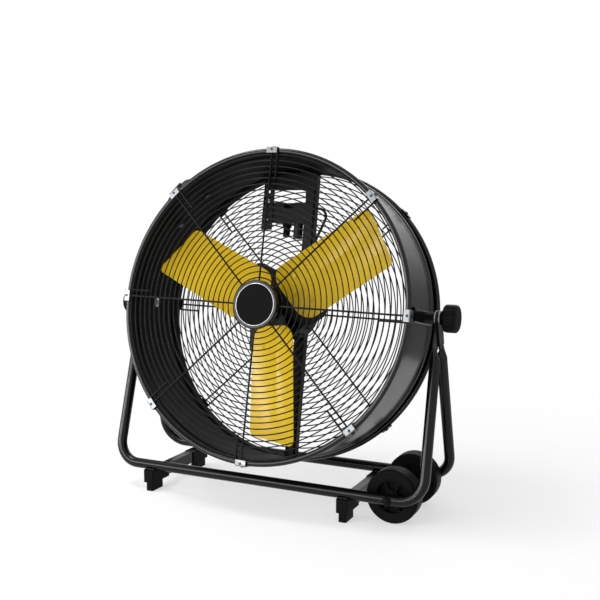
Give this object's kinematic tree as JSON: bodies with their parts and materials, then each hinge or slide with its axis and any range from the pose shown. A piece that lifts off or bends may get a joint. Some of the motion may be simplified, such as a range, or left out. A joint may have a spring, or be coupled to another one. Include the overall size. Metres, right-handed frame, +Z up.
{
  "type": "drum floor fan",
  "caption": "Drum floor fan on a tilting tube stand: wire guards at both ends, pitched blades, side clamp knobs, feet on one side and wheels on the other.",
  "frame": {"origin": "on the floor, in the middle under the tilt pivot", "axes": "+Z up, the front of the fan faces -Y, +X to the right as seen from the front"},
  "size_m": [0.793, 0.3402, 0.7564],
  "materials": {
    "black_painted_tube": "satin powder coat",
    "black_painted_sheet": "satin powder coat",
    "black_coated_wire": "semi-gloss powder coat",
    "zinc_plated_clip": "bright zinc",
    "black_screws": "black zinc",
    "zinc_plated_steel": "bright zinc",
    "yellow_painted_sheet": "satin powder coat",
    "black_painted_hub": "satin powder coat",
    "ground_steel": "ground",
    "core_iron": "plain",
    "cast_motor_bell": "satin enamel",
    "black_painted_bracket": "satin powder coat",
    "black_moulded_plastic": "fine grain",
    "badge_plastic": "polished",
    "badge_insert": "plain",
    "white_nylon": "plain",
    "capacitor_case": "plain",
    "switch_spindle": "plain",
    "black_cable": "matte",
    "grip_rubber": "ribbed"
  },
  "bodies": {
    "frame": {"front_frame_tube": "black_painted_tube", "rear_frame_tube": "black_painted_tube", "left_cross_bar": "black_painted_tube", "right_cross_bar": "black_painted_tube", "front_left_foot": "black_moulded_plastic", "rear_left_foot": "black_moulded_plastic", "front_right_foot": "black_moulded_plastic", "rear_right_foot": "black_moulded_plastic", "wheel_axle": "zinc_plated_steel", "axle_caps": "black_moulded_plastic", "axle_collars": "zinc_plated_steel", "nylon_washers": "white_nylon", "steel_washers": "zinc_plated_steel"},
    "drum": {"drum_shell": "black_painted_sheet", "front_guard": "black_coated_wire", "front_guard_clips": "zinc_plated_clip", "front_clip_screws": "black_screws", "rear_guard": "black_coated_wire", "rear_guard_clips": "zinc_plated_clip", "rear_clip_screws": "black_screws", "badge_bezel": "badge_plastic", "badge_plate": "badge_insert", "motor_front_bell": "cast_motor_bell", "motor_rear_bell": "cast_motor_bell", "motor_can": "cast_motor_bell", "stator_core": "core_iron", "front_bearing": "ground_steel", "rear_bearing": "ground_steel", "motor_bolts": "black_screws", "motor_bar": "black_painted_bracket", "bar_screws": "black_screws", "box_strap": "black_painted_bracket", "switch_box": "black_painted_bracket", "box_cover": "black_painted_bracket", "rotary_switch": "black_moulded_plastic", "run_capacitor": "capacitor_case", "cord_gland": "black_moulded_plastic", "motor_lead": "black_cable", "handle_bow": "black_painted_tube", "handle_grip": "grip_rubber", "handle_screws": "black_screws", "left_pivot_plate": "black_painted_tube", "right_pivot_plate": "black_painted_tube", "pivot_spacers": "black_painted_tube", "pivot_bolts": "zinc_plated_steel"},
    "rotor": {"fan_blade_1": "yellow_painted_sheet", "fan_blade_2": "yellow_painted_sheet", "fan_blade_3": "yellow_painted_sheet", "hub_spider": "black_painted_hub", "blade_rivets": "zinc_plated_steel", "hub_nut": "zinc_plated_steel", "motor_shaft": "ground_steel", "rotor_core": "core_iron"},
    "front_wheel": {"front_wheel": "black_moulded_plastic"},
    "rear_wheel": {"rear_wheel": "black_moulded_plastic"},
    "left_clamp_knob": {"left_clamp_knob": "black_moulded_plastic"},
    "right_clamp_knob": {"right_clamp_knob": "black_moulded_plastic"},
    "speed_knob": {"speed_knob": "black_moulded_plastic", "switch_shaft": "switch_spindle"}
  },
  "joints": [
    {"name": "drum_tilt", "type": "hinge", "parent": "frame", "child": "drum", "pos_m": [0, 0, 0.4095], "axis": [-1, 0, 0], "range_deg": [-101, 79]},
    {"name": "rotor_spin", "type": "hinge", "parent": "drum", "child": "rotor", "pos_m": [0, 0, 0.4095], "axis": [0, 0.9816, -0.1908], "continuous": true},
    {"name": "front_wheel_roll", "type": "hinge", "parent": "frame", "child": "front_wheel", "pos_m": [0.2895, -0.064, 0.0565], "axis": [0, 1, 0], "continuous": true},
    {"name": "rear_wheel_roll", "type": "hinge", "parent": "frame", "child": "rear_wheel", "pos_m": [0.2895, 0.064, 0.0565], "axis": [0, 1, 0], "continuous": true},
    {"name": "left_clamp_turn", "type": "hinge", "parent": "drum", "child": "left_clamp_knob", "pos_m": [-0.385, 0, 0.4095], "axis": [-1, 0, 0], "range_deg": [0, 360]},
    {"name": "right_clamp_turn", "type": "hinge", "parent": "drum", "child": "right_clamp_knob", "pos_m": [0.385, 0, 0.4095], "axis": [1, 0, 0], "range_deg": [0, 360]},
    {"name": "speed_turn", "type": "hinge", "parent": "drum", "child": "speed_knob", "pos_m": [-0.034, 0.15005, 0.60497], "axis": [0, -0.9816, 0.1908], "range_deg": [0, 90]}
  ]
}
